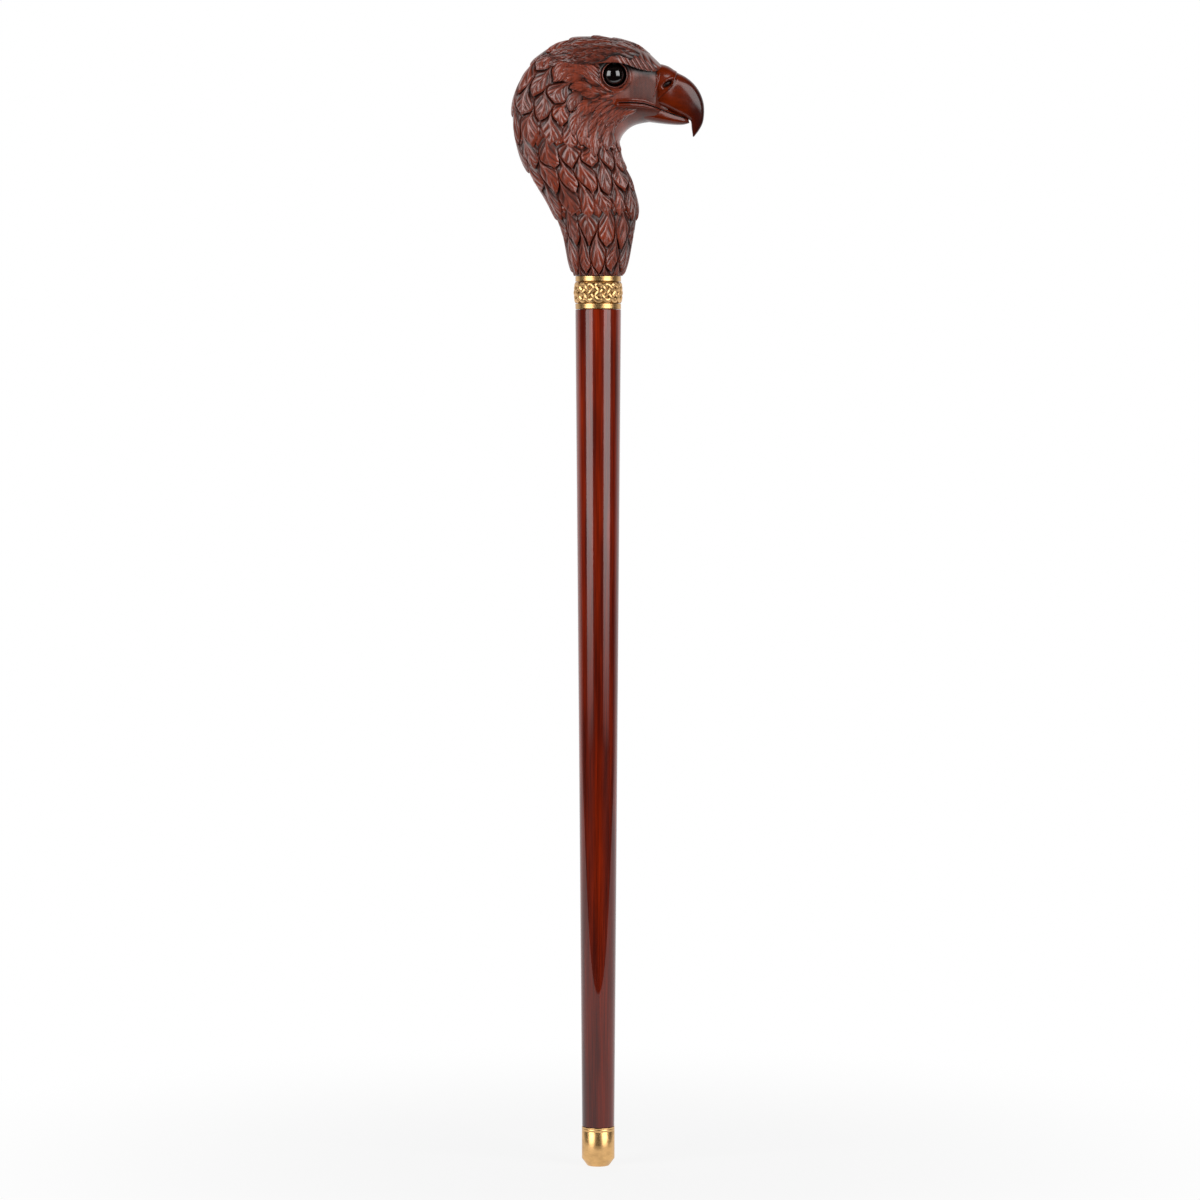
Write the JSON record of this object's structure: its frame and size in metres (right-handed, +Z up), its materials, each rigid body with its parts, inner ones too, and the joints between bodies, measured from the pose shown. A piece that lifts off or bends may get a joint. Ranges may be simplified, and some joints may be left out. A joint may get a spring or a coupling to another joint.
{
  "type": "walking cane",
  "caption": "Walking cane with a carved eagle head handle, a brass collar with a plaited band, a tapered lacquered shaft and a brass ferrule; the head unscrews.",
  "frame": {"origin": "centre of the ferrule's flat foot, where the cane meets the ground", "axes": "+Z up the shaft's axis, +X the way the beak points, +Y towards the bird's left"},
  "size_m": [0.1551, 0.061, 0.9147],
  "materials": {
    "carved_wood": "carved rosewood, stained dark in the cuts, satin lacquer",
    "lacquered_wood": "turned rosewood, high-gloss lacquer",
    "eye_glass": "black, glossy",
    "polished_brass": "turned and polished",
    "cast_brass": "cast, with antiqued recesses",
    "machined_brass": "machined",
    "steel": "zinc-plated, rolled thread"
  },
  "bodies": {
    "shaft": {"shaft": "lacquered_wood", "shaft_insert": "machined_brass", "collar_sleeve": "polished_brass", "lower_rim_ring": "polished_brass", "braid_band": "cast_brass", "upper_rim_ring": "polished_brass", "ferrule": "polished_brass"},
    "stud": {"stud": "steel"},
    "head": {"eagle_head": "carved_wood", "right_eye": "eye_glass", "left_eye": "eye_glass"}
  },
  "joints": [
    {"name": "stud_lift", "type": "slide", "parent": "shaft", "child": "stud", "axis": [0, 0, 1], "range_m": [0, 0.015]},
    {"name": "head_turn", "type": "hinge", "parent": "stud", "child": "head", "pos_m": [0, 0, 0.73], "axis": [0, 0, 1], "range_deg": [0, 3600]}
  ],
  "couplings": [
    {"joint": "stud_lift", "follows": "head_turn", "m_per_rad": 0.00023873}
  ]
}
